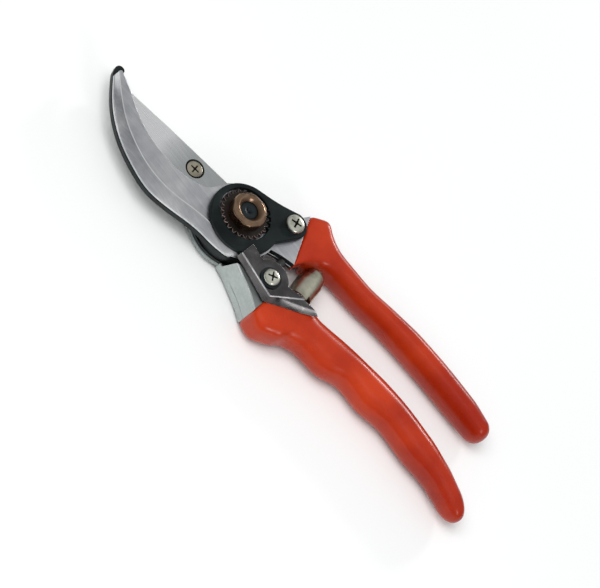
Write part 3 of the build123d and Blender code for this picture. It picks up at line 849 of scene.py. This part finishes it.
foot_line = np.concatenate([
    straight([(10.6, -14.4, 15.2), (29.6, -18.3, 15.5)], STRAIGHT_POINTS),
    smooth([(31.0, -17.9, 15.6), (36.0, -13.4, 15.7), (42.6, -8.0, 15.9), (47.6, -3.2, 16.4)], CURVED_POINTS),
])
edge_count = len(edge_line)
top_points = at_height(edge_line, CATCH_TOP)
tip_lift = np.concatenate([np.zeros(STRAIGHT_POINTS), np.linspace(0, 1, CURVED_POINTS) ** 2])
slope = np.gradient(edge_line, axis=0)
slope /= np.linalg.norm(slope, axis=1)[:, None]
highlight_row_drop = np.column_stack([slope[:, 1] * 0.3, -slope[:, 0] * 0.3, np.full(edge_count, -0.42)])

# Side wall and thumb rest: rows from the crease down, the first of them a rounded edge painted as a
# highlight.
previous = boundary[:edge_count]
for share in (0.0, 0.3, 0.5, 0.7, 0.86, 1.0):
    if share == 0:
        points = top_points + highlight_row_drop
    else:
        points = top_points + (foot_line - top_points) * share
        points[:, 2] += 1.1 * math.sin(math.pi * share) * tip_lift
        points[:, 2] = np.minimum(points[:, 2], CATCH_TOP - 0.6)
    row = [mesh.verts.new(point) for point in points]
    for i in range(edge_count - 1):
        mesh.faces.new((previous[i], previous[i + 1], row[i + 1], row[i])).material_index = int(share == 0)
    previous = row
catch = piece(
    "bent_catch", mesh, "catch", catch_steel, ["thumb_catch"],
    sharp=40, soften=(CATCH_SHEET, 0.55, painted_rim_highlight),
)
if catch.data.polygons[0].normal.z < 0:
    catch.data.flip_normals()

# ---------------------------------------------------------------- volute spring

spring_foot = np.array((37.7, -0.2))
spring_head = np.array((34.7, 15.7))
reach = float(np.linalg.norm(spring_head - spring_foot))
along = (spring_head - spring_foot) / reach
across = np.array((along[1], -along[0]))
TURNS = 2.7
STRIP_HEIGHT = 8.6
STRIP_THICKNESS = 0.4
OUTER_RADIUS = 5.5
RADIUS_LOSS = 1.3
FIRST_ANGLE = 1.15
steps = int(TURNS * 48)
mesh = bmesh.new()
rows = []
for step in range(steps + 1):
    share = step / steps
    angle = 2 * math.pi * TURNS * share + FIRST_ANGLE
    radius = OUTER_RADIUS - RADIUS_LOSS * share
    inside = radius - STRIP_THICKNESS
    start = (reach - STRIP_HEIGHT) * share
    stop = start + STRIP_HEIGHT
    corners = []
    for r, a in ((radius, start), (radius, stop), (inside, stop), (inside, start)):
        flat = spring_foot + along * a + across * (r * math.cos(angle))
        corners.append(mesh.verts.new((flat[0], flat[1], GRIP_MID_Z + r * math.sin(angle))))
    rows.append(corners)
for a, b in zip(rows, rows[1:]):
    for i in range(4):
        j = (i + 1) % 4
        mesh.faces.new((a[i], a[j], b[j], b[i]))
mesh.faces.new(rows[0])
mesh.faces.new(rows[-1])
spring = piece("coiled_spring", mesh, None, spring_zinc, ["volute_spring"])
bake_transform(spring)

# ---------------------------------------------------------------- screws

def screw(name, centre, profile, top, size, turn, body, material, node):
    """Screw with a cross recess cut in its head, whose depths and widths are shares of its size."""
    mesh = bmesh.new()
    lathe(mesh, centre, profile)
    thing = piece(name, mesh, body, material, [node])
    cutter = bmesh.new()
    lathe(cutter, centre, [(0.12 * size, top - 0.62 * size), (0.36 * size, top + 0.3)], 24)
    levels = ((top - 0.5 * size, 0.55, 0.09), (top - 0.2 * size, 0.85, 0.13), (top + 0.3, 1.0, 0.17))
    for quarter in (0, 90):
        spin = math.radians(turn + quarter)
        one, other = np.array((math.cos(spin), math.sin(spin))), np.array((-math.sin(spin), math.cos(spin)))
        rings = []
        for z, reach, half in levels:
            corners = [(-reach, -half), (reach, -half), (reach, half), (-reach, half)]
            rings.append([(*(np.array(centre) + size * (a * one + b * other)), z) for a, b in corners])
        add_solid(cutter, rings)
    bmesh.ops.recalc_face_normals(cutter, faces=cutter.faces)
    for vert in cutter.verts:
        vert.co *= MM
    cutter_data = bpy.data.meshes.new("recess")
    cutter.to_mesh(cutter_data)
    cutter.free()
    # The recess faces take painted shade.
    cutter_data.materials.append(painted_recess_shade)
    tool = bpy.data.objects.new("recess", cutter_data)
    bpy.context.scene.collection.objects.link(tool)
    thing.modifiers.clear()
    cut = thing.modifiers.new("cut", "BOOLEAN")
    cut.operation = "DIFFERENCE"
    cut.object = tool
    cut.solver = "EXACT"
    cut.use_self = True
    cut.material_mode = "TRANSFER"
    bpy.context.view_layer.update()
    done = bpy.data.meshes.new_from_object(thing.evaluated_get(bpy.context.evaluated_depsgraph_get()))
    thing.modifiers.clear()
    thing.data = done
    done.set_sharp_from_angle(angle=math.radians(32))
    bpy.data.objects.remove(tool)
    flat = thing.modifiers.new("flat_faces", "WEIGHTED_NORMAL")
    flat.keep_sharp = True


def pan_profile(radius, low, high, shank_low):
    """Shank, flat underside, rounded rim and domed top of a pan head."""
    profile = [(2.0, shank_low), (2.0, low), (radius - 0.1, low), (radius, low + 0.15)]
    for angle in (0, 20, 40, 60, 75):
        drop = (high - low - 0.55) * (1 - math.sin(math.radians(angle)))
        profile.append((radius * (1 - 0.30 * (1 - math.cos(math.radians(angle)))), high - 0.12 - drop * 0.9))
    return profile + [(radius * 0.55, high - 0.03), (radius * 0.2, high)]


screw(
    "tail_screw", TAIL_AT, pan_profile(3.9, PLATE_TOP, 18.95, 7.0), 18.95, 2.5, 20,
    "hook_side", pale_zinc, "lock_plate_screw",
)
screw(
    "pivot_screw_of_catch", CATCH_AT, pan_profile(3.45, 19.62, 21.15, 5.0), 21.15, 2.2, 35,
    "blade_side", pale_zinc, "catch_screw",
)
screw(
    "countersunk_screw", BLADE_SCREW_AT,
    [(2.0, 1.8), (2.0, 6.4), (3.2, 7.6), (3.35, 7.9), (3.3, 8.05), (3.0, 8.13), (1.0, 8.15)],
    8.15, 2.1, 10, "blade_side", warm_zinc, "blade_screw",
)

# ---------------------------------------------------------------- finishes of the frame's own parts

finishes = {
    "counter_blade_rivets": dark_steel_and_painted_shade,
    "hook_spring_peg": spring_zinc,
    "blade_locating_pin": blade_steel,
    "pivot_bush": copper_brown,
    "bumper": rubber,
    "blade_spring_peg": spring_zinc,
    "catch_bush": bolt_black,
    "catch_washer": bolt_black,
}
for node, material in finishes.items():
    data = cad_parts[node].data
    data.materials.clear()
    data.materials.append(material)

# ---------------------------------------------------------------- floor, light and camera

floor_nodes = Nodes("floor_paint")
floor_cloud = floor_nodes.noise(floor_nodes.place, 3, 2)
tint = floor_nodes.ramp(floor_cloud, (0.3, (0.86, 0.87, 0.865)), (0.7, (0.90, 0.905, 0.90)))
floor_nodes.link(tint, floor_nodes.shader.inputs["Base Color"])
floor_nodes.set(Roughness=0.8)
mesh = bmesh.new()
bmesh.ops.create_grid(mesh, x_segments=8, y_segments=8, size=4)
data = bpy.data.meshes.new("floor")
mesh.to_mesh(data)
mesh.free()
data.materials.append(floor_nodes.material)
floor = bpy.data.objects.new("floor", data)
floor.location = (0, 0, -0.0004)
bpy.context.scene.collection.objects.link(floor)

world = bpy.data.worlds.new("studio")
bpy.context.scene.world = world
world.use_nodes = True
background = world.node_tree.nodes["Background"]
sky_place = world.node_tree.nodes.new("ShaderNodeTexCoord")
sky_parts = world.node_tree.nodes.new("ShaderNodeSeparateXYZ")
sky_ramp = world.node_tree.nodes.new("ShaderNodeValToRGB")
world.node_tree.links.new(sky_place.outputs["Generated"], sky_parts.inputs["Vector"])
world.node_tree.links.new(sky_parts.outputs["Z"], sky_ramp.inputs["Fac"])
world.node_tree.links.new(sky_ramp.outputs["Color"], background.inputs["Color"])
sky_ramp.color_ramp.elements[0].position = 0.0
sky_ramp.color_ramp.elements[0].color = (0.16, 0.165, 0.17, 1)
sky_ramp.color_ramp.elements[1].position = 1.0
sky_ramp.color_ramp.elements[1].color = (0.80, 0.81, 0.82, 1)
background.inputs["Strength"].default_value = 0.75


def area_light(name, place, aim, size, power, colour=(1, 1, 1), mirrored=True):
    """Soft lamp at a place, pointing at the tool."""
    lamp = bpy.data.lights.new(name, "AREA")
    lamp.shape = "RECTANGLE"
    lamp.size, lamp.size_y = size
    lamp.energy = power
    lamp.color = colour
    thing = bpy.data.objects.new(name, lamp)
    thing.visible_glossy = mirrored
    thing.location = place
    thing.rotation_euler = (Vector(aim) - Vector(place)).to_track_quat("-Z", "Y").to_euler()
    bpy.context.scene.collection.objects.link(thing)


area_light("overhead", (-0.15, -0.30, 0.95), (0.03, 0, 0), (0.75, 0.75), 7.5, mirrored=False)
area_light("key", (0.12, 0.80, 0.30), (0.05, 0, 0.01), (0.16, 0.10), 1.6)
area_light("side", (0.75, -0.35, 0.45), (0.03, 0, 0), (0.2, 0.3), 1.2)

camera_data = bpy.data.cameras.new("camera")
camera = bpy.data.objects.new("camera", camera_data)
bpy.context.scene.collection.objects.link(camera)
right = Vector((0.6225, 0.6167, 0.4818)).normalized()
back = Vector((0.0, -0.6157, 0.788)).normalized()
up = back.cross(right).normalized()
right = up.cross(back)
aim = Vector((36.6, -2.3, 15.4)) * MM
distance = 1.3
turn = Matrix((right, up, back)).transposed().to_4x4()
camera.matrix_world = Matrix.Translation(aim + back * distance) @ turn
camera_data.sensor_width = 36
camera_data.lens = 0.1585 * distance * 1000
camera_data.clip_end = 20
bpy.context.scene.camera = camera
bpy.context.scene.view_settings.view_transform = "Standard"
